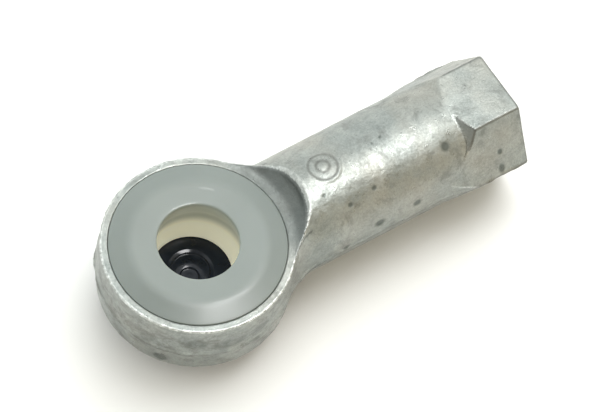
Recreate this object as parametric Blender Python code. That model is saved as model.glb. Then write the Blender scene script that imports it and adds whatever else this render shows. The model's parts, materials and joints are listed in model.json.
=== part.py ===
"""Rod end with a ball socket: a die-cast housing, a nylon ball seat and a snap-on end cap.

The frame is right-handed with +Z up. The origin is on the shank's axis, half way along the rod
end, which is the centre of its bounding box. +Z runs parallel to the eye's axis to the side the
ball stud leaves by, and +X runs along the shank to the hexagon. Every shape is drawn round the
centre of the eye and its object stands there, so each joint axis passes through its piece's own
origin. Dimensions are in millimetres until they reach a mesh.
"""

import math

import bmesh
import bpy
from mathutils import Vector

MM = 0.001
GAP = 0.3  # clearance between neighbouring pieces
OVERRUN = 1.0  # how far a cutter runs past the face it opens
WELD_DISTANCE = 0.002  # closes the slivers a Boolean leaves
SMOOTH_ANGLE = 30.0

# Eye of the housing, as radii and heights on the eye's axis
FACE_Z = 5.65
FACE_R = 12.75
PARTING_R = 13.2
PARTING_LAND = 0.3
BACK_Z = -4.8
BACK_R = 12.95
BACK_EDGE = 0.7
RECESS_R = 15.1  # where the recess ends over the neck, above the foot of its wall
RECESS_FOOT = 2.5
RECESS_DRAFT = 0.1  # how far the wall leans back for each millimetre it rises
RECESS_DEPTH = 5.0
RECESS_STEPS = 8
EYE_BLANK_OVER = 0.5  # how much taller the eye's blank is than the eye
EYE_SEGMENTS = 96

# Neck, shank and hexagon, along the shank's axis
SHANK_R = 8.0
SHANK_END_R = 8.2
NECK_FILLET = 8.0
ROOT_DEPTH = 0.5  # how far the neck's fillet starts inside the eye
ROOT_LENGTH = 4.0  # how far the shank's blank runs on into the eye
NECK_STEPS = 7
SHANK_SEGMENTS = 72
HEX_AF = 16.0
HEX_CLEAR = 0.2
COLLAR_R = HEX_AF / math.sqrt(3.0) + HEX_CLEAR  # just outside the hexagon's corners
HEX_START_X = 40.6
CONE_SLOPE = 0.65  # how fast the cone under the hexagon's corners widens
END_X = 47.6
END_CHAMFER = 0.55
EYE_X = (PARTING_R - END_X) / 2  # the eye's axis, with the middle of the rod end at the origin

# Threaded bore in the shank, M10 x 1.5 drawn at its tapping size
THREAD_MINOR_R = 4.25
THREAD_DEPTH = 22.0
DRILL_POINT = 2.5
SINK_WIDTH = 0.95

# Ball seat
BALL_CAVITY_R = 6.55
BALL_Z = 0.45
THROAT_R = 5.4
THROAT_TOP_Z = 6.28
CREST_R = 8.95
CREST_Z = 6.42
FLANGE_R = 11.8
FLANGE_TOP_Z = 6.1
FLANGE_UNDER_Z = 4.05
SEAT_BODY_R = 9.3
SEAT_FOOT_Z = -3.25
GROOVE_R = 8.7
GROOVE_TOP_Z = -1.0
BEAD_R = 9.2
BEAD_TOP_Z = -2.0
BEAD_LAND = 0.4
SEAT_EDGE = 0.25
SEAT_SEGMENTS = 72

# End cap
CAP_R = 10.7
CAP_FLOOR_Z = -3.55
CAP_UNDER_Z = -4.7
CAP_RIM_Z = -1.3
CLIP_DEPTH = 0.4
GREASE_DISH_R = 3.2
GREASE_DISH_Z = -3.9
GREASE_WELL_R = 1.2
GREASE_WELL_Z = -4.22
CAP_EDGE = 0.15


def clear_scene():
    for item in list(bpy.data.objects):
        bpy.data.objects.remove(item, do_unlink=True)


def make_material(name, colour, roughness, metallic):
    material = bpy.data.materials.new(name)
    material.use_nodes = True
    shader = material.node_tree.nodes["Principled BSDF"]
    shader.inputs["Base Color"].default_value = (*colour, 1.0)
    shader.inputs["Roughness"].default_value = roughness
    shader.inputs["Metallic"].default_value = metallic
    return material


def add_object(name, form, material=None):
    """Link a bmesh as an object at the eye; a helper shape has no material and is never built."""
    bmesh.ops.recalc_face_normals(form, faces=form.faces[:])
    mesh = bpy.data.meshes.new(name)
    form.to_mesh(mesh)
    form.free()
    item = bpy.data.objects.new(name, mesh)
    item.location.x = EYE_X * MM
    bpy.context.scene.collection.objects.link(item)
    if material is None:
        item.hide_render = True
        item.display_type = "WIRE"
    else:
        mesh.materials.append(material)
        mesh.shade_smooth()
        mesh.set_sharp_from_angle(angle=math.radians(SMOOTH_ANGLE))
    return item


def combine(target, other, operation):
    modifier = target.modifiers.new(f"{operation.lower()} {other.name}", "BOOLEAN")
    modifier.operation = operation
    modifier.solver = "EXACT"
    modifier.object = other
    weld = target.modifiers.new(f"weld {other.name}", "WELD")
    weld.merge_threshold = WELD_DISTANCE * MM


def arc(centre, radius, start, end, steps):
    """Points on an arc in a profile plane, from one angle to another in degrees."""
    angles = [math.radians(start + (end - start) * i / steps) for i in range(steps + 1)]
    return [(centre[0] + radius * math.cos(a), centre[1] + radius * math.sin(a)) for a in angles]


def turned(profile, segments, along="Z"):
    """Spin a closed profile of (radius, height) points once round the Z or the X axis."""
    form = bmesh.new()
    if along == "Z":
        axis = Vector((0.0, 0.0, 1.0))
        corners = [form.verts.new(Vector((r, 0.0, h)) * MM) for r, h in profile]
    else:
        axis = Vector((1.0, 0.0, 0.0))
        corners = [form.verts.new(Vector((h, 0.0, r)) * MM) for r, h in profile]
    edges = []
    for i, (radius, _) in enumerate(profile):
        if radius > 0.0 or profile[i - 1][0] > 0.0:
            edges.append(form.edges.new((corners[i - 1], corners[i])))
    centre = (0.0, 0.0, 0.0)
    bmesh.ops.spin(
        form, geom=edges, cent=centre, axis=axis, angle=math.tau, steps=segments, use_merge=True
    )
    bmesh.ops.remove_doubles(form, verts=form.verts[:], dist=1e-7)
    return form


def prism(loops):
    """A closed solid lofted through rings that have the same number of points."""
    form = bmesh.new()
    rings = []
    for loop in loops:
        corners = [form.verts.new(Vector(point) * MM) for point in loop]
        rings.append([form.edges.new((a, b)) for a, b in zip(corners, corners[1:] + corners[:1])])
    for near, far in zip(rings, rings[1:]):
        bmesh.ops.bridge_loops(form, edges=near + far)
    for ring in (rings[0], rings[-1]):
        bmesh.ops.contextual_create(form, geom=ring)
    return form


def oval(x, half_width, half_height):
    """A ring of points round the shank's axis."""
    angles = [math.tau * i / SHANK_SEGMENTS for i in range(SHANK_SEGMENTS)]
    return [(x, half_width * math.cos(a), half_height * math.sin(a)) for a in angles]


def hexagon(x, across_flats):
    """A hexagon round the shank's axis with one flat facing +Z."""
    corner = across_flats / math.sqrt(3.0)
    angles = [math.radians(60.0 * i) for i in range(6)]
    return [(x, corner * math.cos(a), corner * math.sin(a)) for a in angles]


def eye_blank():
    """The eye as a plain disc, taller than it ends up, so that the recess cutters face it."""
    draft = (PARTING_R - FACE_R) / FACE_Z
    side = [
        (0.0, FACE_Z + EYE_BLANK_OVER),
        (FACE_R - draft * EYE_BLANK_OVER, FACE_Z + EYE_BLANK_OVER),
        (PARTING_R, PARTING_LAND / 2),
        (PARTING_R, -PARTING_LAND / 2),
        (BACK_R, BACK_Z + BACK_EDGE),
    ]
    side += arc((BACK_R - BACK_EDGE, BACK_Z + BACK_EDGE), BACK_EDGE, -15.0, -75.0, 4)
    side += [(BACK_R - 2 * BACK_EDGE, BACK_Z - EYE_BLANK_OVER), (0.0, BACK_Z - EYE_BLANK_OVER)]
    return turned(side, EYE_SEGMENTS)


def shank_blank():
    """Neck flared into the eye by a round fillet, round shank, and the collar cut to a hexagon."""
    root_r = FACE_R - ROOT_DEPTH
    fillet_y = SHANK_R + NECK_FILLET
    fillet_x = math.sqrt((root_r + NECK_FILLET) ** 2 - fillet_y**2)
    root_x = fillet_x * root_r / (root_r + NECK_FILLET)
    stations = [root_x + (fillet_x - root_x) * i / NECK_STEPS for i in range(NECK_STEPS + 1)]
    widths = [fillet_y - math.sqrt(NECK_FILLET**2 - (fillet_x - x) ** 2) for x in stations]
    rings = [oval(root_x - ROOT_LENGTH, widths[0], SHANK_R)]
    rings += [oval(x, width, SHANK_R) for x, width in zip(stations, widths)]
    rings += [
        oval(collar_start_x(), SHANK_END_R, SHANK_END_R),
        oval(HEX_START_X, COLLAR_R, COLLAR_R),
        oval(END_X - END_CHAMFER, COLLAR_R, COLLAR_R),
        oval(END_X, COLLAR_R - 2 * END_CHAMFER, COLLAR_R - 2 * END_CHAMFER),
    ]
    return prism(rings)


def collar_start_x():
    """Where the cone under the hexagon's corners leaves the shank."""
    return HEX_START_X - (COLLAR_R - SHANK_END_R) / CONE_SLOPE


def recess_cutter(face_z, side):
    """A bowl that clears the eye's face and rounds up into the end of the shank."""
    centre = (RECESS_R - RECESS_FOOT, face_z + side * RECESS_FOOT)
    foot = arc(centre, RECESS_FOOT, 0.0, -side * 90.0, RECESS_STEPS)
    far_z = face_z + side * RECESS_DEPTH
    far_r = RECESS_R + RECESS_DRAFT * (RECESS_DEPTH - RECESS_FOOT)
    return turned([(0.0, far_z), (far_r, far_z), *foot, (0.0, face_z)], EYE_SEGMENTS)


def seat_bore_cutter():
    """The eye's stepped bore: flange pocket, web and cap pocket."""
    profile = [
        (0.0, FACE_Z + OVERRUN),
        (FLANGE_R + GAP, FACE_Z + OVERRUN),
        (FLANGE_R + GAP, FLANGE_UNDER_Z - GAP),
        (SEAT_BODY_R + GAP, FLANGE_UNDER_Z - GAP),
        (SEAT_BODY_R + GAP, CAP_RIM_Z + GAP),
        (CAP_R + GAP, CAP_RIM_Z + GAP),
        (CAP_R + GAP, BACK_Z - OVERRUN),
        (0.0, BACK_Z - OVERRUN),
    ]
    return turned(profile, EYE_SEGMENTS)


def hexagon_cutter():
    """A tube with a hexagonal hole that trims the collar down to its six flats."""
    start = collar_start_x() - HEX_CLEAR
    end = END_X + OVERRUN
    form = bmesh.new()
    rings = []
    for x, size in ((start, HEX_AF), (end, HEX_AF), (end, 2 * HEX_AF), (start, 2 * HEX_AF)):
        rings.append([form.verts.new(Vector(point) * MM) for point in hexagon(x, size)])
    for near, far in zip(rings, rings[1:] + rings[:1]):
        for i in range(6):
            form.faces.new((near[i - 1], near[i], far[i], far[i - 1]))
    return form


def thread_bore_cutter():
    """Tapped blind bore with a countersunk mouth and a drill point."""
    profile = [
        (0.0, END_X + OVERRUN),
        (THREAD_MINOR_R + SINK_WIDTH + OVERRUN, END_X + OVERRUN),
        (THREAD_MINOR_R, END_X - SINK_WIDTH),
        (THREAD_MINOR_R, END_X - THREAD_DEPTH),
        (0.0, END_X - THREAD_DEPTH - DRILL_POINT),
    ]
    return turned(profile, SEAT_SEGMENTS, along="X")


def build_housing(material):
    housing = add_object("housing", eye_blank(), material)
    combine(housing, add_object("shank_blank", shank_blank()), "UNION")
    combine(housing, add_object("face_recess", recess_cutter(FACE_Z, 1)), "DIFFERENCE")
    combine(housing, add_object("back_recess", recess_cutter(BACK_Z, -1)), "DIFFERENCE")
    combine(housing, add_object("hexagon_tube", hexagon_cutter()), "DIFFERENCE")
    combine(housing, add_object("seat_bore", seat_bore_cutter()), "DIFFERENCE")
    combine(housing, add_object("thread_bore", thread_bore_cutter()), "DIFFERENCE")
    return housing


def build_ball_seat(material):
    """Flanged seat with a throat narrower than the ball and a bead that holds the cap."""
    throat_z = BALL_Z + math.sqrt(BALL_CAVITY_R**2 - THROAT_R**2)
    throat_angle = math.degrees(math.asin((throat_z - BALL_Z) / BALL_CAVITY_R))
    foot_angle = math.degrees(math.asin((SEAT_FOOT_Z - BALL_Z) / BALL_CAVITY_R))
    profile = [(FLANGE_R, FLANGE_TOP_Z - SEAT_EDGE), (FLANGE_R, FLANGE_UNDER_Z)]
    profile += [(SEAT_BODY_R, FLANGE_UNDER_Z), (SEAT_BODY_R, GROOVE_TOP_Z)]
    profile += [(GROOVE_R, GROOVE_TOP_Z), (GROOVE_R, BEAD_TOP_Z), (BEAD_R, BEAD_TOP_Z)]
    profile += [(BEAD_R, BEAD_TOP_Z - BEAD_LAND), (GROOVE_R, SEAT_FOOT_Z)]
    profile += arc((0.0, BALL_Z), BALL_CAVITY_R, foot_angle, throat_angle, 12)
    profile += arc((THROAT_R + SEAT_EDGE, THROAT_TOP_Z - SEAT_EDGE), SEAT_EDGE, 180.0, 90.0, 3)
    profile += [(CREST_R, CREST_Z), (FLANGE_R - SEAT_EDGE, FLANGE_TOP_Z)]
    return add_object("ball_seat", turned(profile, SEAT_SEGMENTS), material)


def build_end_cap(material):
    """Disc with a stepped grease well inside and a rim that clips over the seat's bead."""
    bore_r = BEAD_R + GAP
    clip_r = GROOVE_R + GAP
    clip_z = CAP_RIM_Z - CLIP_DEPTH
    profile = [(0.0, GREASE_WELL_Z)]
    for radius, foot_z, top_z in (
        (GREASE_WELL_R, GREASE_WELL_Z, GREASE_DISH_Z),
        (GREASE_DISH_R, GREASE_DISH_Z, CAP_FLOOR_Z),
    ):
        inside = (radius - CAP_EDGE, foot_z + CAP_EDGE)
        outside = (radius + CAP_EDGE, top_z - CAP_EDGE)
        profile += arc(inside, CAP_EDGE, -90.0, 0.0, 3)
        profile += arc(outside, CAP_EDGE, 180.0, 90.0, 3)
    profile += [(bore_r, CAP_FLOOR_Z), (bore_r, clip_z), (clip_r, clip_z), (clip_r, CAP_RIM_Z)]
    profile += [(CAP_R, CAP_RIM_Z), (CAP_R, CAP_UNDER_Z + CAP_EDGE), (CAP_R - CAP_EDGE, CAP_UNDER_Z)]
    profile += [(0.0, CAP_UNDER_Z)]
    return add_object("end_cap", turned(profile, SEAT_SEGMENTS), material)


def build():
    clear_scene()
    zinc = make_material("zinc_casting", (0.60, 0.61, 0.60), 0.45, 0.9)
    nylon = make_material("natural_nylon", (0.66, 0.69, 0.66), 0.35, 0.0)
    acetal = make_material("black_acetal", (0.015, 0.016, 0.018), 0.2, 0.0)
    build_housing(zinc)
    build_ball_seat(nylon)
    build_end_cap(acetal)


build()
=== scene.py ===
import json
import math

import bpy
import numpy as np
from mathutils import Matrix, Vector, noise


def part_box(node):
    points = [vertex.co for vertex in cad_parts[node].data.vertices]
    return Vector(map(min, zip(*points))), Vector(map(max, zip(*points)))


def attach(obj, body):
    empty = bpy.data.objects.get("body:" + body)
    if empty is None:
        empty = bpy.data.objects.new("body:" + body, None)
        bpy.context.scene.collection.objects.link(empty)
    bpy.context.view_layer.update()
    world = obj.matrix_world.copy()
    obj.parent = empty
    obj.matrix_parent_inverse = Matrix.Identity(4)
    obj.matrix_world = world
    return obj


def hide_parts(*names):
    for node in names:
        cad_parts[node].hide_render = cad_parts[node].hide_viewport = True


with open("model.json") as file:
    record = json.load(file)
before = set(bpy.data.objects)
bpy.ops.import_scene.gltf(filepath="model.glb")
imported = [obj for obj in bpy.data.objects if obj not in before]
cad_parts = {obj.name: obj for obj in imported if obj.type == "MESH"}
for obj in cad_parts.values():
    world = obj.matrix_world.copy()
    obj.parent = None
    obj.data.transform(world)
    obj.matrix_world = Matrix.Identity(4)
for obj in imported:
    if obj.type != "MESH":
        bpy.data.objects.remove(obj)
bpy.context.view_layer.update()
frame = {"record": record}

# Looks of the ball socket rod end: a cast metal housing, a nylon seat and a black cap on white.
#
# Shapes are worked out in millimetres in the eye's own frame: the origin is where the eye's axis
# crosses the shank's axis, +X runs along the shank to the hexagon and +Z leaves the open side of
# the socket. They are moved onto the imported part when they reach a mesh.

MM = 0.001
SEED_OFFSET = Vector((17.3, 4.1, 9.7))  # keeps the noise away from its zero at the origin


def box_mm(node):
    """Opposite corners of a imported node's box, in millimetres."""
    low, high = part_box(node)
    return low / MM, high / MM


housing_high = box_mm("housing")[1]
seat_low, seat_high = box_mm("ball_seat")
cap_low, cap_high = box_mm("end_cap")
mounts = {mount["name"]: Vector(mount["pos_m"]) / MM for mount in frame["record"]["mounts"]}
EYE = Vector(((seat_low.x + seat_high.x) / 2, 0.0, 0.0))

# Eye of the housing
PARTING_R = housing_high.y
FACE_Z = 5.65
FACE_R = 12.75
BACK_Z = mounts["eye_back_face"].z
BACK_R = 12.95
BACK_EDGE = 0.7
RECESS_R = 15.1
RECESS_FOOT = 2.5
RECESS_DRAFT = 0.1
RIM_ROUND = 0.12
CREST_ROUND = 0.28  # how much rounder the recess's edge gets for each millimetre it rises

# Neck, shank and hexagon
SHANK_R = 8.0
SHANK_END_R = housing_high.z
SHANK_ROOT_X = 8.0
NECK_FILLET = 2.5
END_X = mounts["thread_end_face"].x - EYE.x
HEX_HALF = mounts["hex_flat_upper"].z
COLLAR_R = 2 * HEX_HALF / math.sqrt(3.0) + 0.2
HEX_START_X = 40.6
CONE_SLOPE = 0.9
SIDE_SLOPE = 0.22  # the corners on the parting plane fade in more slowly
SHANK_STOP_X = HEX_START_X - (COLLAR_R - SHANK_END_R) / CONE_SLOPE
RUN_OUT = 4.0  # the shank's last stretch, where it eases down to the hexagon's flats
HEX_ROUND = 0.16
END_CHAMFER = 0.22
END_ROUND = 0.2

# Bores
GAP = 0.3
LIP_GAP = 0.02
FLANGE_R = seat_high.y - 0.12
FLANGE_UNDER_Z = 4.05
SEAT_BODY_R = 9.3
CAP_R = cap_high.y
CAP_RIM_Z = cap_high.z
THREAD_MINOR_R = 4.25
THREAD_MAJOR_R = 5.0
THREAD_PITCH = 1.5
THREAD_DEPTH = 22.0
DRILL_POINT = 2.5
SINK_WIDTH = 0.95

# Resolution of the casting's mesh
CELL = 0.2
MARGIN = 0.8


# ---------------------------------------------------------------- solid forms of the casting

def rounded_cut(a, b, radius):
    """The part common to two forms, with the edge between them rounded."""
    corner = np.hypot(np.maximum(a + radius, 0.0), np.maximum(b + radius, 0.0))
    return np.minimum(np.maximum(a, b), -radius) + corner


def filleted_join(a, b, radius):
    """Both forms together, with a round fillet where they meet."""
    corner = np.hypot(np.maximum(radius - a, 0.0), np.maximum(radius - b, 0.0))
    return np.maximum(np.minimum(a, b), radius) - corner


def cone(radius, height, foot_r, slope):
    """Distance to a cone whose radius is foot_r at height 0 and grows by slope."""
    return (radius - foot_r - slope * height) / math.hypot(1.0, slope)


def eye_form(x, y, z):
    """The eye's drafted side, without its faces."""
    radius = np.hypot(x, y)
    upper = cone(radius, z, PARTING_R, (FACE_R - PARTING_R) / FACE_Z)
    lower = cone(radius, z, PARTING_R, (BACK_R - PARTING_R) / BACK_Z)
    return np.maximum(upper, lower)


def shank_form(x, y, z):
    """The slightly tapered shank, eased down to the hexagon's flats at its end."""
    along = np.clip(x / SHANK_STOP_X, 0.0, 1.0)
    ease = np.clip((x - SHANK_STOP_X + RUN_OUT) / RUN_OUT, 0.0, 1.0)
    ease = ease * ease * (3.0 - 2.0 * ease)
    radius = SHANK_R + (SHANK_END_R - SHANK_R) * along - (SHANK_END_R - HEX_HALF) * ease
    ends = np.maximum(SHANK_ROOT_X - x, x - HEX_START_X)
    return np.maximum(np.hypot(y, z) - radius, ends)


def corner_cone(x, y, z):
    """The cone under the hexagon's corners, gentler towards the parting plane."""
    radius = np.hypot(y, z)
    sideways = np.clip(2.0 * (y / (radius + 1e-9)) ** 2 - 0.75, 0.0, 1.0)
    slope = CONE_SLOPE + (SIDE_SLOPE - CONE_SLOPE) * sideways
    return (radius - COLLAR_R - slope * (x - HEX_START_X)) / np.sqrt(1.0 + slope * slope)


def hexagon_form(x, y, z):
    """Hexagonal end: a cone under the corners, six flats and a chamfered end."""
    radius = np.hypot(y, z)
    flats = np.abs(z) - HEX_HALF
    for side in (-1.0, 1.0):
        slanted = np.abs(0.5 * z + side * math.sqrt(0.75) * y) - HEX_HALF
        flats = rounded_cut(flats, slanted, HEX_ROUND)
    body = np.maximum(flats, corner_cone(x, y, z))
    end = cone(radius, x - (END_X - END_CHAMFER), COLLAR_R, -2.0)
    end = np.maximum(end, x - END_X)
    return rounded_cut(body, end, END_ROUND)


def recess_form(radius, rise):
    """The cleared bowl over a face of the eye, with a wall that rounds up out of the face."""
    wall = cone(radius, rise - RECESS_FOOT, RECESS_R, RECESS_DRAFT)
    return rounded_cut(-rise, wall, RECESS_FOOT)


def seat_bore_form(x, y, z):
    """Flange pocket, web and cap pocket, one below the other."""
    radius = np.hypot(x, y)
    flange_pocket = np.maximum(radius - FLANGE_R - LIP_GAP, FLANGE_UNDER_Z - GAP - z)
    web = radius - SEAT_BODY_R - GAP
    cap_pocket = np.maximum(radius - CAP_R - GAP, z - CAP_RIM_Z - GAP)
    return np.minimum(np.minimum(flange_pocket, web), cap_pocket)


def thread_bore_form(x, y, z):
    """Blind bore with a helical thread, a countersunk mouth and a drill point."""
    radius = np.hypot(y, z)
    turn = x / THREAD_PITCH - np.arctan2(z, y) / math.tau
    groove = np.clip(1.25 * np.abs(2.0 * (turn - np.floor(turn)) - 1.0) - 0.12, 0.0, 1.0)
    floor_x = END_X - THREAD_DEPTH
    thread = 0.7 * (radius - THREAD_MINOR_R - (THREAD_MAJOR_R - THREAD_MINOR_R) * groove)
    thread = np.maximum(thread, floor_x - x)
    point = cone(radius, x - floor_x, THREAD_MINOR_R, THREAD_MINOR_R / DRILL_POINT)
    point = np.maximum(point, x - floor_x - 0.1)
    mouth = np.maximum(cone(radius, x - END_X, THREAD_MINOR_R + SINK_WIDTH, 1.0), END_X - 3.0 - x)
    return np.minimum(np.minimum(thread, point), mouth)


def casting_form(points):
    """Signed distance to the casting, negative inside, for an array of points."""
    x, y, z = points[:, 0], points[:, 1], points[:, 2]
    radius = np.hypot(x, y)
    solid = filleted_join(eye_form(x, y, z), shank_form(x, y, z), NECK_FILLET)
    solid = np.minimum(solid, hexagon_form(x, y, z))
    for rise, least in ((z - FACE_Z, RIM_ROUND), (BACK_Z - z, BACK_EDGE)):
        edge = np.maximum(least, RIM_ROUND + CREST_ROUND * rise)
        solid = rounded_cut(solid, -recess_form(radius, rise), edge)
    solid = rounded_cut(solid, -seat_bore_form(x, y, z), 0.04)
    return rounded_cut(solid, -thread_bore_form(x, y, z), 0.1)


# ---------------------------------------------------------------- from a form to an even mesh

def sample_grid(form, low, high, step):
    """Values of a form on a grid, and the grid's axes."""
    axes = [np.arange(low[i], high[i] + step, step) for i in range(3)]
    values = np.empty([len(axis) for axis in axes])
    flat_y, flat_z = [part.ravel() for part in np.meshgrid(axes[1], axes[2], indexing="ij")]
    for i, x in enumerate(axes[0]):
        sheet = np.column_stack((np.full(len(flat_y), x), flat_y, flat_z))
        values[i] = form(sheet).reshape(len(axes[1]), len(axes[2]))
    return values, axes


def crossing_points(values, cells):
    """Mean of the points where a form's surface crosses the edges of each cell."""
    total = np.zeros((len(cells), 3))
    count = np.zeros(len(cells))
    for axis in range(3):
        others = [i for i in range(3) if i != axis]
        for a in (0, 1):
            for b in (0, 1):
                start = np.zeros(3, int)
                start[others[0]] = a
                start[others[1]] = b
                end = start.copy()
                end[axis] = 1
                near = values[tuple((cells + start).T)]
                far = values[tuple((cells + end).T)]
                crossed = (near < 0) != (far < 0)
                share = np.where(crossed, near / np.where(crossed, near - far, 1.0), 0.0)
                point = start + share[:, None] * (end - start)
                total += np.where(crossed[:, None], point, 0.0)
                count += crossed
    return cells + total / count[:, None]


def surface_net(form, low, high, step):
    """A closed mesh of quads round a form, one corner in each cell its surface crosses."""
    values, axes = sample_grid(form, low, high, step)
    inside = values < 0
    parts = [
        inside[i : len(axes[0]) - 1 + i, j : len(axes[1]) - 1 + j, k : len(axes[2]) - 1 + k]
        for i in (0, 1)
        for j in (0, 1)
        for k in (0, 1)
    ]
    filled = sum(part.astype(np.int8) for part in parts)
    cells = np.argwhere((filled > 0) & (filled < 8))
    index = np.full(filled.shape, -1)
    index[tuple(cells.T)] = np.arange(len(cells))
    origin = np.array([axis[0] for axis in axes])
    points = origin + crossing_points(values, cells) * step
    quads = []
    for axis in range(3):
        ahead = np.moveaxis(inside, axis, 0)
        flip = ahead[:-1, 1:-1, 1:-1] != ahead[1:, 1:-1, 1:-1]
        spots = np.argwhere(flip) + (0, 1, 1)
        outward = ahead[tuple(spots.T)]
        at = np.moveaxis(index, axis, 0)
        ring = [
            at[spots[:, 0], spots[:, 1] + a, spots[:, 2] + b]
            for a, b in ((-1, -1), (0, -1), (0, 0), (-1, 0))
        ]
        ring = np.column_stack(ring)
        if axis == 1:
            outward = ~outward
        quads.append(np.where(outward[:, None], ring, ring[:, ::-1]))
    return points, np.vstack(quads)


def slopes(form, points, step=0.01):
    """Gradient of a form at each point."""
    found = np.empty_like(points)
    for axis in range(3):
        shift = np.zeros(3)
        shift[axis] = step
        found[:, axis] = (form(points + shift) - form(points - shift)) / (2 * step)
    return found


def onto_surface(form, points, rounds=3):
    """Move points along a form's gradient until they lie on its surface."""
    for _ in range(rounds):
        gradient = slopes(form, points)
        steep = np.maximum((gradient**2).sum(1), 0.05)
        move = (form(points) / steep)[:, None] * gradient
        length = np.linalg.norm(move, axis=1, keepdims=True)
        points = points - move * np.minimum(1.0, CELL / np.maximum(length, 1e-9))
    return points


def evened(form, points, quads, rounds=3):
    """Slide the corners towards the middle of their neighbours, keeping them on the surface."""
    for _ in range(rounds):
        total = np.zeros_like(points)
        count = np.zeros(len(points))
        for i in range(4):
            a, b = quads[:, i], quads[:, (i + 1) % 4]
            for here, there in ((a, b), (b, a)):
                for axis in range(3):
                    total[:, axis] += np.bincount(here, points[there, axis], len(points))
                count += np.bincount(here, minlength=len(points))
        points = points + 0.5 * (total / count[:, None] - points)
        points = onto_surface(form, points, 1)
    return onto_surface(form, points, 2)


def convexity(form, points, reach):
    """How sharply a form turns away from each point: positive on edges, negative in corners."""
    around = np.zeros(len(points))
    for axis in range(3):
        shift = np.zeros(3)
        shift[axis] = reach
        around += form(points + shift) + form(points - shift)
    return around / reach


# ---------------------------------------------------------------- marks of the casting process

def roughness_field(points, size, seed):
    """Smooth noise in millimetres of feature size, between about -1 and 1."""
    offset = SEED_OFFSET * seed
    return np.array([noise.noise(Vector(p) / size + offset) for p in points])


# Shallow pits on the shank and the hexagon: distance along them, angle from the top towards the
# near side in degrees, size along the shank and round it. Those that the picture shows were placed
# from it, along its camera's lines of sight, and the rest are made up.
PITS = (
    (35.8, 32.0, 0.7, 0.75),
    (23.8, 75.0, 0.9, 0.6),
    (29.8, 74.0, 0.7, 0.55),
    (18.5, 87.0, 0.5, 0.4),
    (24.2, 36.0, 0.42, 0.38),
    (20.2, 40.0, 0.4, 0.35),
    (17.4, 21.0, 0.32, 0.3),
    (28.4, -5.0, 0.24, 0.22),
    (27.0, -3.0, 0.18, 0.18),
    (43.5, 65.0, 0.45, 0.5),
    (43.4, 83.0, 0.55, 0.7),
    (33.0, 118.0, 0.6, 0.5),
    (25.0, -118.0, 0.8, 0.6),
    (37.0, -150.0, 0.5, 0.5),
)
PIT_DEPTH = 0.06

# Dark spots on the eye's side: angle round the eye's axis, height, size along and up the side,
# and how dark each is. Those that the picture shows were placed from it, the rest are made up.
SPOTS = (
    (-141.2, -2.85, 1.1, 1.1, 1.0),
    (-122.0, 2.6, 2.6, 1.4, 0.26),
    (-102.0, 1.8, 3.0, 1.2, 0.3),
    (-82.0, 2.2, 2.0, 1.1, 0.26),
    (-150.0, 1.6, 1.6, 1.5, 0.2),
    (-118.0, 2.3, 0.8, 0.5, 0.45),
    (-96.0, 1.5, 1.2, 0.5, 0.4),
    (-110.0, -2.2, 1.6, 0.7, 0.2),
    (70.0, -1.5, 1.8, 0.9, 0.3),
    (160.0, 2.4, 1.6, 0.6, 0.3),
)

# Cavity mark by the neck: a raised ring round a pip
MARK_X = 19.4
MARK_ANGLE = -5.0
MARK_R = 2.3
MARK_LINE = 0.34
MARK_HEIGHT = 0.1
PIP_R = 0.8

MARK_OUTLINE_WIDTH = 0.3
PIP_OUTLINE_WIDTH = 0.35

FLASH_HEIGHT = 0.26
FLASH_WIDTH = 0.26
FLASH_WANDER = 0.35
FLASH_SHADE_DROP = 0.34  # how far under the flash its painted shade line lies
RIM_BURR = 0.07
RECESS_REACH = 0.9  # how far round the eye from the shank its face gets painted shade, in radians
ON_SURFACE = 0.12  # a point this near to a form lies on it

# The cast skin's waves, coarse to fine, as the size of their features, their seed and their height
SKIN_WAVES = (
    (2.6, 3.0, 0.03),
    (0.8, 4.0, 0.014),
    (0.45, 5.0, 0.008),
)
EDGE_REACH = 0.3  # how far from a point its sharpness is judged
EDGE_FADE = 0.15  # how much of that sharpness is left where an edge is kept clean
HEXAGON_LEAD = 2.0  # the hexagon's own colours start this far before it
GRID_SHIFT = 0.21  # share of a cell by which the grid is moved off the form's flat faces


def on_shank(points, x, angle):
    """Distances along the shank and round it from a place on its surface."""
    here = np.degrees(np.arctan2(-points[:, 1], points[:, 2]))
    turn = (here - angle + 180.0) % 360.0 - 180.0
    return points[:, 0] - x, np.radians(turn) * SHANK_R


def bump(distance, width):
    """A smooth hump, 1 in the middle and 0 from width outwards."""
    share = np.clip(1.0 - (distance / width) ** 2, 0.0, 1.0)
    return share * share


def pit_field(points):
    """How deep each point lies in a pit, from 0 to 1."""
    depth = np.zeros(len(points))
    for x, angle, length, width in PITS:
        along, across = on_shank(points, x, angle)
        depth = np.maximum(depth, bump(np.hypot(along / length, across / width), 1.3))
    return depth * (np.hypot(points[:, 1], points[:, 2]) > SHANK_R - 0.5)


def spot_field(points):
    """Dark spots on the eye's side, from 0 to 1."""
    radius = np.hypot(points[:, 0], points[:, 1])
    here = np.degrees(np.arctan2(points[:, 1], points[:, 0]))
    dark = np.zeros(len(points))
    for angle, height, width, tall, strength in SPOTS:
        turn = (here - angle + 180.0) % 360.0 - 180.0
        across = np.radians(turn) * PARTING_R / width
        spot = np.clip(1.5 * bump(np.hypot(across, (points[:, 2] - height) / tall), 1.2), 0.0, 1.0)
        dark = np.maximum(dark, strength * spot)
    return dark * (radius > BACK_R - 0.6)


def mark_field(points):
    """The raised cavity mark, from 0 to 1."""
    along, across = on_shank(points, MARK_X, MARK_ANGLE)
    radius = np.hypot(along, across)
    ring = bump(radius - MARK_R, MARK_LINE)
    pip = bump(radius, PIP_R)
    on_top = np.hypot(points[:, 1], points[:, 2]) > SHANK_R - 0.5
    return np.maximum(ring, pip) * on_top


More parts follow.
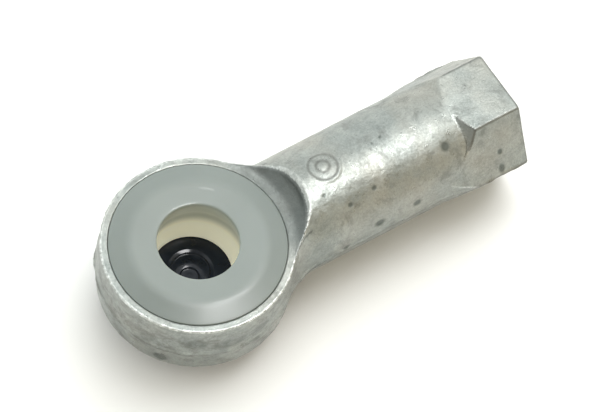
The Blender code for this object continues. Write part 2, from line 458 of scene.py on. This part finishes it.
def mark_outline(points):
    """The darker line along the foot of the cavity mark and round its pip."""
    along, across = on_shank(points, MARK_X, MARK_ANGLE)
    radius = np.hypot(along, across)
    lines = bump(radius - MARK_R + MARK_LINE, MARK_OUTLINE_WIDTH) + bump(radius - PIP_R - 0.1, PIP_OUTLINE_WIDTH)
    on_top = np.hypot(points[:, 1], points[:, 2]) > SHANK_R - 0.5
    return np.clip(lines, 0.0, 1.0) * on_top


def flash_field(points, drop=0.0):
    """The parting line's thin irregular fin, round the eye and along both sides of the shank."""
    flat = points * (1.0, 1.0, 0.0)
    wander = roughness_field(flat, 3.0, 1.0)
    strength = roughness_field(flat, 1.7, 2.0)
    outside = np.hypot(points[:, 0], points[:, 1]) > PARTING_R - 0.6
    outside |= (points[:, 0] > FACE_R) & (np.abs(points[:, 1]) > SHANK_R - 0.6)
    fin = bump(points[:, 2] - FLASH_WANDER * wander + drop, FLASH_WIDTH)
    return fin * outside * np.clip(0.6 + 1.1 * strength, 0.1, 1.2)


def cone_field(points):
    """1 on the small facets under the hexagon's corners on the near side."""
    x, y, z = points.T
    near = np.abs(corner_cone(x, y, z)) < 0.15
    steep = (y < 0.0) & (y > -0.75 * HEX_HALF) & (np.hypot(y, z) > HEX_HALF + ON_SURFACE)
    return (near & steep & (x < HEX_START_X + 0.3)).astype(float)


def recess_shade_field(points):
    """Painted shade on the recess over either face, from 0 to 1: on the rim land by the shank and darker
    up the wall.
    """
    radius = np.hypot(points[:, 0], points[:, 1])
    turn = np.arctan2(np.abs(points[:, 1]), points[:, 0])
    field = 0.8 * np.clip(2.0 * bump(turn, RECESS_REACH), 0.0, 1.0)
    field = field * (radius > FLANGE_R) * (radius < RECESS_R)
    field = field * (np.abs(points[:, 2] - FACE_Z) < 0.1)
    for rise in (points[:, 2] - FACE_Z, BACK_Z - points[:, 2]):
        near = np.abs(recess_form(radius, rise)) < ON_SURFACE
        climb = np.clip(0.6 + (radius - FLANGE_R - 0.5) / (RECESS_R - FLANGE_R), 0.0, 1.0)
        field = np.maximum(field, climb * near * (rise > 0.02))
    return field


def skin_height(points, edge, pits):
    """How far the cast skin stands out from the casting's form at each point."""
    waves = [roughness_field(points, size, seed) for size, seed, _ in SKIN_WAVES]
    coarse, medium, fine = [wave[2] * field for wave, field in zip(SKIN_WAVES, waves)]
    burr = np.clip(edge, 0.0, 1.0) * (points[:, 0] < HEX_START_X - 8.0)
    height = MARK_HEIGHT * mark_field(points) - PIT_DEPTH * pits + FLASH_HEIGHT * flash_field(points)
    height += coarse + medium + fine + RIM_BURR * burr * waves[-1]
    from_seat = np.clip((np.hypot(points[:, 0], points[:, 1]) - FLANGE_R - 0.05) / 0.3, 0.0, 1.0)
    in_pocket = points[:, 2] > FLANGE_UNDER_Z - GAP - 0.2
    return height * np.where(in_pocket, from_seat, 1.0)  # the seat's pocket stays smooth


def shade_and_outline_field(points):
    """Painted shade under the flash and on the hexagon's small facets, and a darker line along the cavity
    mark.
    """
    # Painted shade just under the flash fin.
    under_flash = np.clip(1.8 * flash_field(points, FLASH_SHADE_DROP), 0.0, 0.9)
    shade_and_outline = np.maximum(under_flash, 0.6 * mark_outline(points))
    # Painted shade on the near cone facets, which face away from the light.
    return np.maximum(shade_and_outline, 0.5 * cone_field(points))


def shown_edge(points, edge):
    """Sharpness as the material shows it: faint on the cone's far and lower sides and by the seat."""
    clean = (points[:, 0] > SHANK_STOP_X - RUN_OUT) & (points[:, 0] < HEX_START_X + 0.6)
    clean &= (points[:, 1] > 0.0) | (points[:, 2] < 0.0)
    pocket = (np.hypot(points[:, 0], points[:, 1]) < FLANGE_R + 0.5) & (edge > 0.0)
    return np.where(clean | pocket, EDGE_FADE, 1.0) * edge


def side_field(points, normals):
    """1 on the eye's round side, where the casting is streaky."""
    outside = np.clip((np.hypot(points[:, 0], points[:, 1]) - FACE_R + 0.1) / 0.3, 0.0, 1.0)
    return outside * (np.abs(normals[:, 2]) < 0.4) * (points[:, 0] < FACE_R - 2.0)


def build_casting(material):
    """The housing as one closed mesh, with the values its material reads at every corner."""
    low = (-PARTING_R - MARGIN, -PARTING_R - MARGIN, -SHANK_END_R - MARGIN)
    high = (END_X + MARGIN, PARTING_R + MARGIN, SHANK_END_R + MARGIN)
    low = [value + CELL * GRID_SHIFT for value in low]
    points, quads = surface_net(casting_form, low, high, CELL)
    points = evened(casting_form, onto_surface(casting_form, points), quads)
    normals = slopes(casting_form, points)
    normals /= np.maximum(np.linalg.norm(normals, axis=1, keepdims=True), 1e-9)
    pits = pit_field(points)
    edge = np.clip(convexity(casting_form, points, EDGE_REACH), -1.0, 1.0)
    skin = points + normals * skin_height(points, edge, pits)[:, None]
    casting = add_mesh("housing_casting", skin, quads, material)
    add_values(casting, "edge", shown_edge(points, edge))
    add_values(casting, "hexagon", np.clip(points[:, 0] - HEX_START_X + HEXAGON_LEAD, 0.0, 1.0))
    add_values(casting, "side", side_field(points, normals))
    add_values(casting, "stain", np.maximum(pits, spot_field(points)))
    add_values(casting, "shade_and_outline", shade_and_outline_field(points))
    add_values(casting, "recess", recess_shade_field(points))
    return casting


# ---------------------------------------------------------------- meshes

def add_mesh(name, points, faces, material):
    """A smooth mesh object from corners in the eye's frame and their faces."""
    mesh = bpy.data.meshes.new(name)
    mesh.from_pydata((points * MM + np.array(EYE * MM)).tolist(), [], faces.tolist())
    mesh.materials.append(material)
    mesh.validate()
    mesh.shade_smooth()
    item = bpy.data.objects.new(name, mesh)
    bpy.context.scene.collection.objects.link(item)
    return item


def add_values(item, name, values):
    """Store one number for each corner, for the material to read."""
    attribute = item.data.attributes.new(name, "FLOAT", "POINT")
    attribute.data.foreach_set("value", values.astype(np.float32))


def arc(centre, radius, start, end, steps):
    """Points on an arc in a profile plane, from one angle to another in degrees."""
    angles = np.radians(np.linspace(start, end, steps + 1))
    return [(centre[0] + radius * math.cos(a), centre[1] + radius * math.sin(a)) for a in angles]


def softened(profile, radius, steps=4):
    """Round the corners of a closed profile of (radius, height) points."""
    rounded = []
    for i, corner in enumerate(profile):
        here = Vector(corner)
        before = Vector(profile[i - 1]) - here
        after = Vector(profile[(i + 1) % len(profile)]) - here
        turn = before.angle(after)
        if corner[0] == 0.0 or math.pi - turn < math.radians(12.0):
            rounded.append(corner)
            continue
        cut = min(radius / math.tan(turn / 2), 0.45 * before.length, 0.45 * after.length)
        start = here + before.normalized() * cut
        end = here + after.normalized() * cut
        for step in range(steps + 1):
            share = step / steps
            point = start * (1 - share) ** 2 + here * 2 * share * (1 - share) + end * share**2
            rounded.append((point.x, point.y))
    return rounded


def densified(profile, spacing):
    """Split the long stretches of a closed profile so that no face is much longer than spacing."""
    dense = []
    for i, corner in enumerate(profile):
        here, there = Vector(corner), Vector(profile[(i + 1) % len(profile)])
        pieces = max(1, math.ceil((there - here).length / spacing))
        dense += [tuple(here.lerp(there, step / pieces)) for step in range(pieces)]
    return dense


def turned(name, profile, segments, material):
    """Spin a closed profile of (radius, height) points round the eye's axis."""
    points, rings = [], []
    for radius, height in profile:
        if radius <= 1e-6:
            rings.append([len(points)] * segments)
            points.append((0.0, 0.0, height))
            continue
        rings.append(list(range(len(points), len(points) + segments)))
        for i in range(segments):
            angle = math.tau * i / segments
            points.append((radius * math.cos(angle), radius * math.sin(angle), height))
    faces = []
    for k, ring in enumerate(rings):
        following = rings[(k + 1) % len(rings)]
        for i in range(segments):
            j = (i + 1) % segments
            corners = [ring[i], following[i], following[j], ring[j]]
            face = [corner for n, corner in enumerate(corners) if corner != corners[n - 1]]
            if len(face) > 2:
                faces.append(face)
    mesh = bpy.data.meshes.new(name)
    placed = [(Vector(point) + EYE) * MM for point in points]
    mesh.from_pydata(placed, [], faces)
    mesh.materials.append(material)
    mesh.validate()
    mesh.shade_smooth()
    item = bpy.data.objects.new(name, mesh)
    bpy.context.scene.collection.objects.link(item)
    return item


def corners_of(item):
    """A mesh's corners in the eye's frame, and their distances from its axis."""
    corners = np.array([(v.co / MM - EYE)[:] for v in item.data.vertices])
    return corners, np.hypot(corners[:, 0], corners[:, 1])


def move_corners(item, corners):
    """Put a mesh's corners at new places in the eye's frame."""
    item.data.vertices.foreach_set("co", ((corners + np.array(EYE)) * MM).ravel())
    item.data.update()


# ---------------------------------------------------------------- ball seat and end cap

BALL_CAVITY_R = 6.55
BALL_Z = 0.45
THROAT_R = 5.4
THROAT_BLEND = 24.0  # how far up the ball cavity runs before it eases into the throat, in degrees
THROAT_EASE = 1.1
THROAT_TOP_Z = 6.28
CREST_R = 8.95
CREST_Z = seat_high.z
CREST_LIFT = 0.05  # raises the crest's corner, because its rounding lowers it
FLANGE_TOP_Z = 5.72
FLANGE_EDGE = 0.07
CREST_WIDTH = 0.8  # how far the crest's rounding reaches to either side
SEAT_FOOT_Z = seat_low.z
GROOVE_R = 8.7
GROOVE_TOP_Z = -1.0
BEAD_R = 9.2
BEAD_TOP_Z = -2.0
BEAD_LAND = 0.4
CAP_FLOOR_Z = -3.55
CLIP_DEPTH = 0.4
GREASE_DISH_R = 2.6
SLOPE_WIDTH = 0.45  # the steps' upper edges slope over this width
DISH_SLOPE_DROP = 0.13
WELL_SLOPE_DROP = 0.06
GREASE_DISH_Z = -3.9
GREASE_WELL_R = 1.2
GREASE_WELL_Z = -4.22
CREAM_TOP_Z = 1.5  # where the cavity's painted grey starts to turn into painted cream light
CREAM_FOOT_Z = -1.2
THROAT_GLOW = 0.26
LIP_SHIFT = np.array((-0.25, 0.3, 0.0))  # the moulded parts sit a little off the eye's axis
DISH_SHIFT = np.array((-0.06, 0.87, 0.0))
WELL_SHIFT = np.array((-0.4, -0.52, 0.0))
SEAT_ROUND = 0.28
CAP_ROUND = 0.12
LONGEST_FACE = 0.6
TURN_SEGMENTS = 160


def build_seat(material):
    """The nylon seat: a crowned flange, a throat that eases into the ball cavity, a snap bead."""
    blend = math.radians(THROAT_BLEND)
    blend_start = (BALL_CAVITY_R * math.cos(blend), BALL_Z + BALL_CAVITY_R * math.sin(blend))
    knee_z = blend_start[1] + (blend_start[0] - THROAT_R) / math.tan(blend)
    throat = [
        ((1 - t) ** 2 * blend_start[0] + (1 - (1 - t) ** 2) * THROAT_R,
         (1 - t) ** 2 * blend_start[1] + 2 * t * (1 - t) * knee_z + t * t * (knee_z + THROAT_EASE))
        for t in np.linspace(0.1, 1.0, 10)
    ]
    foot_angle = math.degrees(math.asin((SEAT_FOOT_Z - BALL_Z) / BALL_CAVITY_R))
    inner = Vector((THROAT_R, THROAT_TOP_Z))
    top = Vector((CREST_R, CREST_Z + CREST_LIFT))
    outer = Vector((FLANGE_R - FLANGE_EDGE, FLANGE_TOP_Z))
    rise = top + (inner - top).normalized() * CREST_WIDTH
    fall = top + (outer - top).normalized() * CREST_WIDTH
    crest = [tuple(rise.lerp(top, t).lerp(top.lerp(fall, t), t)) for t in np.linspace(0.0, 1.0, 9)]
    outside = [
        (THROAT_R, THROAT_TOP_Z),
        *crest,
        (FLANGE_R - FLANGE_EDGE, FLANGE_TOP_Z),
        (FLANGE_R, FLANGE_TOP_Z - FLANGE_EDGE),
        (FLANGE_R, FLANGE_UNDER_Z),
        (SEAT_BODY_R, FLANGE_UNDER_Z),
        (SEAT_BODY_R, GROOVE_TOP_Z),
        (GROOVE_R, GROOVE_TOP_Z),
        (GROOVE_R, BEAD_TOP_Z),
        (BEAD_R, BEAD_TOP_Z),
        (BEAD_R, BEAD_TOP_Z - BEAD_LAND),
        (GROOVE_R, SEAT_FOOT_Z),
    ]
    cavity = arc((0.0, BALL_Z), BALL_CAVITY_R, foot_angle, THROAT_BLEND, 24)
    profile = densified(softened(outside + cavity + throat, SEAT_ROUND), LONGEST_FACE)
    seat = turned("ball_seat_moulding", profile, TURN_SEGMENTS, material)
    corners, radius = corners_of(seat)
    # Painted light: the cavity's wall turns from grey under the lip to a glowing cream lower down.
    depth = np.clip((CREAM_TOP_Z - corners[:, 2]) / (CREAM_TOP_Z - CREAM_FOOT_Z), 0.0, 1.0)
    depth = THROAT_GLOW + (1.0 - THROAT_GLOW) * depth * depth * (3.0 - 2.0 * depth)
    hole = (radius < BALL_CAVITY_R + 0.1) & (corners[:, 2] < THROAT_TOP_Z)
    add_values(seat, "inside", depth * hole * np.clip((THROAT_TOP_Z - corners[:, 2]) / 0.6, 0.0, 1.0))
    add_values(seat, "flange", np.clip((radius - CREST_R + 0.6) / 1.4, 0.0, 1.0))
    low = np.clip((BALL_Z - corners[:, 2]) / (BALL_Z - SEAT_FOOT_Z), 0.0, 1.0)
    move_corners(seat, corners + (low * (radius < BALL_CAVITY_R + 0.1))[:, None] * LIP_SHIFT)
    return seat


def build_cap(material):
    """The black cap: a clip ring round a floor with a stepped grease well."""
    bore_r = BEAD_R + GAP
    clip_r = GROOVE_R + GAP
    clip_z = CAP_RIM_Z - CLIP_DEPTH
    profile = [
        (0.0, GREASE_WELL_Z),
        (GREASE_WELL_R, GREASE_WELL_Z),
        (GREASE_WELL_R + 0.1, GREASE_DISH_Z - WELL_SLOPE_DROP),
        (GREASE_WELL_R + 0.1 + SLOPE_WIDTH, GREASE_DISH_Z),
        (GREASE_DISH_R, GREASE_DISH_Z),
        (GREASE_DISH_R + 0.1, CAP_FLOOR_Z - DISH_SLOPE_DROP),
        (GREASE_DISH_R + 0.1 + SLOPE_WIDTH, CAP_FLOOR_Z),
        (bore_r, CAP_FLOOR_Z),
        (bore_r, clip_z),
        (clip_r, clip_z),
        (clip_r, CAP_RIM_Z),
        (CAP_R, CAP_RIM_Z),
        (CAP_R, cap_low.z),
        (0.0, cap_low.z),
    ]
    profile = densified(softened(profile, CAP_ROUND), LONGEST_FACE)
    cap = turned("end_cap_disc", profile, TURN_SEGMENTS, material)
    corners, radius = corners_of(cap)
    inside = corners[:, 2] > cap_low.z + 0.2
    dish = np.clip((bore_r - 0.5 - radius) / (bore_r - 0.5 - GREASE_DISH_R - 0.4), 0.0, 1.0)
    well = np.clip((GREASE_DISH_R - 0.3 - radius) / (GREASE_DISH_R - GREASE_WELL_R - 0.7), 0.0, 1.0)
    shift = dish[:, None] * DISH_SHIFT + well[:, None] * WELL_SHIFT
    move_corners(cap, corners + shift * inside[:, None])
    return cap


# ---------------------------------------------------------------- materials

def new_material(name):
    """A material with its node tree and its shader."""
    material = bpy.data.materials.new(name)
    material.use_nodes = True
    tree = material.node_tree
    return material, tree, tree.nodes["Principled BSDF"]


def add_noise(tree, scale_mm, detail, rough=0.5, distortion=0.0, flat=1.0):
    """Noise in object space whose features are about scale_mm across, and less high by flat."""
    where = tree.nodes.new("ShaderNodeTexCoord")
    squash = tree.nodes.new("ShaderNodeMapping")
    squash.inputs["Scale"].default_value = (1.0, 1.0, flat)
    texture = tree.nodes.new("ShaderNodeTexNoise")
    texture.inputs["Scale"].default_value = 1.0 / (scale_mm * MM)
    texture.inputs["Detail"].default_value = detail
    texture.inputs["Roughness"].default_value = rough
    texture.inputs["Distortion"].default_value = distortion
    tree.links.new(where.outputs["Object"], squash.inputs["Vector"])
    tree.links.new(squash.outputs["Vector"], texture.inputs["Vector"])
    return texture.outputs["Fac"]


def add_range(tree, value, low, high, to_low, to_high):
    """Map a value from one range to another, without leaving it."""
    node = tree.nodes.new("ShaderNodeMapRange")
    node.inputs["From Min"].default_value = low
    node.inputs["From Max"].default_value = high
    node.inputs["To Min"].default_value = to_low
    node.inputs["To Max"].default_value = to_high
    tree.links.new(value, node.inputs["Value"])
    return node.outputs["Result"]


def add_mix(tree, share, first, second, blend="MIX"):
    """Mix two colours; each is a socket or three numbers."""
    node = tree.nodes.new("ShaderNodeMix")
    node.data_type = "RGBA"
    node.blend_type = blend
    for value, socket in ((share, "Factor"), (first, "A"), (second, "B")):
        spot = [s for s in node.inputs if s.name == socket and s.enabled][0]
        if isinstance(value, (int, float)):
            spot.default_value = value
        elif isinstance(value, tuple):
            spot.default_value = (*value, 1.0)
        else:
            tree.links.new(value, spot)
    return [s for s in node.outputs if s.enabled][0]


def add_bump(tree, shader, height, depth_mm, strength=1.0):
    """Fine relief that is too small for the mesh."""
    node = tree.nodes.new("ShaderNodeBump")
    node.inputs["Strength"].default_value = strength
    node.inputs["Distance"].default_value = depth_mm * MM
    tree.links.new(height, node.inputs["Height"])
    tree.links.new(node.outputs["Normal"], shader.inputs["Normal"])


def add_product(tree, first, second):
    """Two values multiplied."""
    node = tree.nodes.new("ShaderNodeMath")
    node.operation = "MULTIPLY"
    tree.links.new(first, node.inputs[0])
    tree.links.new(second, node.inputs[1])
    return node.outputs["Value"]


def add_dot(tree, vector, direction):
    """How far a vector points along a direction."""
    node = tree.nodes.new("ShaderNodeVectorMath")
    node.operation = "DOT_PRODUCT"
    node.inputs[1].default_value = direction
    tree.links.new(vector, node.inputs[0])
    return node.outputs["Value"]


def add_attribute(tree, name):
    """A value stored at the mesh's corners."""
    node = tree.nodes.new("ShaderNodeAttribute")
    node.attribute_name = name
    return node.outputs["Fac"]


def zinc_material():
    """Bare zinc die casting: satin grey with dull patches, a bright worn rim and dark pits, with painted
    shade in corners, on the recess, under the flash and on the hexagon's near facets.
    """
    material, tree, shader = new_material("zinc_casting_look")
    blotches = add_range(tree, add_noise(tree, 4.5, 6.0, 0.65, 0.6), 0.34, 0.66, 0.0, 1.0)
    colour = add_mix(tree, blotches, (0.255, 0.278, 0.265), (0.385, 0.408, 0.387))
    warm = add_range(tree, add_noise(tree, 9.0, 3.0), 0.45, 0.7, 0.0, 0.55)
    colour = add_mix(tree, warm, colour, (0.345, 0.33, 0.288))
    patches = add_range(tree, add_noise(tree, 2.6, 6.0, 0.6, 0.4), 0.53, 0.68, 0.0, 0.6)
    colour = add_mix(tree, patches, colour, (0.17, 0.178, 0.166))
    streaks = add_range(tree, add_noise(tree, 3.4, 8.0, 0.7, 1.2, 1.7), 0.46, 0.62, 0.0, 0.55)
    streaks = add_product(tree, streaks, add_attribute(tree, "side"))
    colour = add_mix(tree, streaks, colour, (0.15, 0.148, 0.128))
    grain_noise = add_noise(tree, 0.32, 4.0, 0.75)
    grain = add_range(tree, grain_noise, 0.3, 0.7, 0.82, 1.16)
    colour = add_mix(tree, 1.0, colour, grain, "MULTIPLY")
    edge = add_attribute(tree, "edge")
    hexagon = add_attribute(tree, "hexagon")
    sparkle = add_range(tree, add_noise(tree, 0.5, 4.0, 0.7), 0.42, 0.62, 0.15, 1.0)
    worn = add_product(tree, add_range(tree, edge, 0.1, 0.7, 0.0, 0.85), sparkle)
    worn = add_product(tree, worn, add_range(tree, hexagon, 0.0, 1.0, 1.0, 0.12))
    colour = add_mix(tree, worn, colour, (0.80, 0.82, 0.80))
    grimy = add_product(tree, add_range(tree, edge, 0.15, 0.7, 0.0, 0.65), hexagon)
    colour = add_mix(tree, grimy, colour, (0.16, 0.165, 0.155))
    # Painted shade: the casting's concave corners are darkened.
    corner = add_range(tree, edge, -0.15, -0.8, 0.0, 0.7)
    colour = add_mix(tree, corner, colour, (0.10, 0.105, 0.095))
    # Painted shade on the recess's wall and on the rim land by the shank.
    recess = add_range(tree, add_attribute(tree, "recess"), 0.0, 1.0, 0.0, 0.85)
    colour = add_mix(tree, recess, colour, (0.095, 0.105, 0.10))
    # Painted shade under the flash and on the hexagon's near cone facets, and the darker line round the
    # cavity mark.
    colour = add_mix(tree, add_attribute(tree, "shade_and_outline"), colour, (0.09, 0.09, 0.08))
    stain = add_range(tree, add_attribute(tree, "stain"), 0.03, 0.6, 0.0, 0.78)
    colour = add_mix(tree, stain, colour, (0.085, 0.10, 0.09))
    tree.links.new(colour, shader.inputs["Base Color"])
    shader.inputs["Metallic"].default_value = 0.85
    rough = add_range(tree, add_noise(tree, 0.9, 5.0, 0.65), 0.3, 0.7, 0.24, 0.52)
    tree.links.new(rough, shader.inputs["Roughness"])
    add_bump(tree, shader, grain_noise, 0.05, 0.9)
    return material


def nylon_material():
    """Natural nylon: milky grey-green and a little translucent, with painted light in the ball cavity and
    painted shade on the outer flange.
    """
    material, tree, shader = new_material("natural_nylon_look")
    cloud = add_noise(tree, 7.0, 0.0)
    colour = add_mix(tree, cloud, (0.205, 0.236, 0.223), (0.235, 0.268, 0.254))
    # Painted shade: the outer flange, past the crest, is darker.
    flange = add_range(tree, add_attribute(tree, "flange"), 0.0, 1.0, 0.0, 0.4)
    colour = add_mix(tree, flange, colour, (0.165, 0.19, 0.178))
    # Painted light in the cavity: grey under the lip turning to a glowing cream lower down, for light
    # through the hole and the nylon.
    inside = add_attribute(tree, "inside")
    throat = add_range(tree, inside, 0.0, THROAT_GLOW, 0.0, 1.0)
    colour = add_mix(tree, throat, colour, (0.40, 0.43, 0.38))
    painted_cream_light = add_range(tree, inside, THROAT_GLOW, 1.0, 0.0, 1.0)
    colour = add_mix(tree, painted_cream_light, colour, (0.90, 0.87, 0.70))
    tree.links.new(colour, shader.inputs["Base Color"])
    glow = add_mix(tree, inside, (0.0, 0.0, 0.0), (0.90, 0.87, 0.70))
    tree.links.new(glow, shader.inputs["Emission Color"])
    shader.inputs["Emission Strength"].default_value = 0.22
    shader.inputs["Subsurface Weight"].default_value = 0.35
    shader.inputs["Subsurface Radius"].default_value = (1.0, 0.95, 0.7)
    shader.inputs["Subsurface Scale"].default_value = 1.2 * MM
    shader.inputs["IOR"].default_value = 1.53
    rough = add_range(tree, add_noise(tree, 4.0, 0.0), 0.0, 1.0, 0.3, 0.38)
    tree.links.new(rough, shader.inputs["Roughness"])
    crown_polish = add_range(tree, flange, 0.0, 0.3, 0.4, 0.02)
    outside = add_range(tree, inside, 0.0, 0.2, 1.0, 0.0)
    tree.links.new(add_product(tree, crown_polish, outside), shader.inputs["Coat Weight"])
    shader.inputs["Coat Roughness"].default_value = 0.02
    return material


def acetal_material():
    """Glossy black acetal with a faint moulding haze."""
    material, tree, shader = new_material("black_acetal_look")
    haze = add_range(tree, add_noise(tree, 1.5, 4.0), 0.3, 0.7, 0.0, 1.0)
    colour = add_mix(tree, haze, (0.004, 0.008, 0.017), (0.008, 0.014, 0.028))
    tree.links.new(colour, shader.inputs["Base Color"])
    tree.links.new(add_range(tree, haze, 0.0, 1.0, 0.1, 0.18), shader.inputs["Roughness"])
    shader.inputs["IOR"].default_value = 1.42
    add_bump(tree, shader, add_noise(tree, 0.8, 3.0), 0.01, 0.3)
    return material


# ---------------------------------------------------------------- studio

FLOOR_SIZE = 4.0
AIM = Vector((16.6, 0.4, 0.0))
CAMERA_DISTANCE = 320.6
CAMERA_AZIMUTH = -42.8
CAMERA_ELEVATION = 61.4
CAMERA_ROLL = 11.8
CAMERA_LENS = 143.66
SOFTBOX_OFFSET = Vector((0.16, -0.12, 0.98)) * 600.0
KEY_OFFSET = Vector((0.44, 0.31, 0.84)) * 600.0
WINDOW_DIRECTION = Vector((0.2378, 0.3072, 0.9214))
WINDOW_SPOT = Vector((5.16, 6.02, CREST_Z))  # where on the seat the window is mirrored
WINDOW_DISTANCE = 700.0
BRIGHT_SIDE = (-0.17, 0.985, 0.0)
DARK_SPOT = (-0.22, -0.38, 0.898)


def placed(point):
    """A place in the eye's frame, in metres in the row's frame."""
    return (Vector(point) + EYE) * MM


def from_angles(azimuth, elevation):
    """Unit vector from the object towards a viewer, with azimuth 0 on the -Y side."""
    a, e = math.radians(azimuth), math.radians(elevation)
    return Vector((math.sin(a) * math.cos(e), -math.cos(a) * math.cos(e), math.sin(e)))


def build_camera():
    """The camera, where the picture's own camera was worked out to be."""
    data = bpy.data.cameras.new("camera")
    data.lens = CAMERA_LENS
    data.sensor_width = 36.0
    data.clip_start = 0.01
    data.clip_end = 20.0
    camera = bpy.data.objects.new("camera", data)
    back = from_angles(CAMERA_AZIMUTH, CAMERA_ELEVATION)
    roll = Matrix.Rotation(math.radians(CAMERA_ROLL), 4, "Z")
    camera.matrix_world = (
        Matrix.Translation(placed(AIM + back * CAMERA_DISTANCE))
        @ back.to_track_quat("Z", "Y").to_matrix().to_4x4()
        @ roll
    )
    bpy.context.scene.collection.objects.link(camera)
    bpy.context.scene.camera = camera


def see_through_from_below(tree, shader):
    """Hide a surface from behind, so that the rod end's underside can be looked at."""
    clear = tree.nodes.new("ShaderNodeBsdfTransparent")
    facing = tree.nodes.new("ShaderNodeNewGeometry")
    either = tree.nodes.new("ShaderNodeMixShader")
    tree.links.new(facing.outputs["Backfacing"], either.inputs[0])
    tree.links.new(shader.outputs["BSDF"], either.inputs[1])
    tree.links.new(clear.outputs["BSDF"], either.inputs[2])
    tree.links.new(either.outputs["Shader"], tree.nodes["Material Output"].inputs["Surface"])


def build_floor():
    """White table the rod end lies on, level just under the foot of the shank."""
    mesh = bpy.data.meshes.new("floor")
    half = FLOOR_SIZE / 2
    corners = [(-half, -half, 0), (half, -half, 0), (half, half, 0), (-half, half, 0)]
    mesh.from_pydata(corners, [], [(0, 1, 2, 3)])
    floor = bpy.data.objects.new("floor", mesh)
    floor.matrix_world = Matrix.Translation(placed((0.0, 0.0, -SHANK_END_R - 0.1)))
    bpy.context.scene.collection.objects.link(floor)
    material, tree, shader = new_material("table_look")
    tint = add_range(tree, add_noise(tree, 60.0, 3.0), 0.3, 0.7, 0.0, 1.0)
    colour = add_mix(tree, tint, (0.92, 0.92, 0.905), (0.94, 0.94, 0.93))
    tree.links.new(colour, shader.inputs["Base Color"])
    shader.inputs["Roughness"].default_value = 0.6
    see_through_from_below(tree, shader)
    mesh.materials.append(material)


def add_light(name, offset, size_mm, power, mirrored_only=True):
    """A lamp aimed from an offset at the camera's target, seen only in mirrors or only as light."""
    data = bpy.data.lights.new(name, "AREA")
    data.shape = "RECTANGLE"
    data.size = size_mm[0] * MM
    data.size_y = size_mm[1] * MM
    data.energy = power
    light = bpy.data.objects.new(name, data)
    light.visible_diffuse = not mirrored_only
    light.visible_glossy = mirrored_only
    turn = offset.to_track_quat("Z", "Y").to_matrix().to_4x4()
    light.matrix_world = Matrix.Translation(placed(AIM + offset)) @ turn
    bpy.context.scene.collection.objects.link(light)


def build_window():
    """A small light that the seat mirrors beside its hole."""
    offset = WINDOW_SPOT + WINDOW_DIRECTION * WINDOW_DISTANCE - AIM
    add_light("window_square", offset, (9.0, 8.0), 0.0019)


def build_studio():
    """The table, the lamps and a surrounding that is brighter on the far side."""
    build_floor()
    add_light("overhead_softbox", SOFTBOX_OFFSET, (260.0, 150.0), 2.3)
    add_light("far_key", KEY_OFFSET, (560.0, 560.0), 2.5, False)
    build_window()
    world = bpy.data.worlds.new("studio")
    world.use_nodes = True
    bpy.context.scene.world = world
    tree = world.node_tree
    where = tree.nodes.new("ShaderNodeTexCoord")
    side, spot = [add_dot(tree, where.outputs["Generated"], way) for way in (BRIGHT_SIDE, DARK_SPOT)]
    near = add_range(tree, side, -0.55, 0.14, 1.0, 0.0)
    colour = add_mix(tree, near, (1.30, 1.35, 1.33), (0.86, 0.78, 0.62))
    colour = add_mix(tree, add_range(tree, spot, 0.8, 0.93, 0.0, 0.8), colour, (0.12, 0.10, 0.08))
    seen = tree.nodes.new("ShaderNodeLightPath")
    colour = add_mix(tree, seen.outputs["Is Camera Ray"], colour, (1.0, 1.0, 1.0))
    tree.links.new(colour, tree.nodes["Background"].inputs["Color"])
    tree.nodes["Background"].inputs["Strength"].default_value = 1.0
    bpy.context.scene.view_settings.view_transform = "Standard"


def build():
    """Make every piece, put it on its body and set up the studio."""
    casting = build_casting(zinc_material())
    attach(casting, "housing")
    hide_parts("housing")
    seat = build_seat(nylon_material())
    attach(seat, "ball_seat")
    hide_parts("ball_seat")
    cap = build_cap(acetal_material())
    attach(cap, "end_cap")
    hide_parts("end_cap")
    build_studio()
    build_camera()


build()
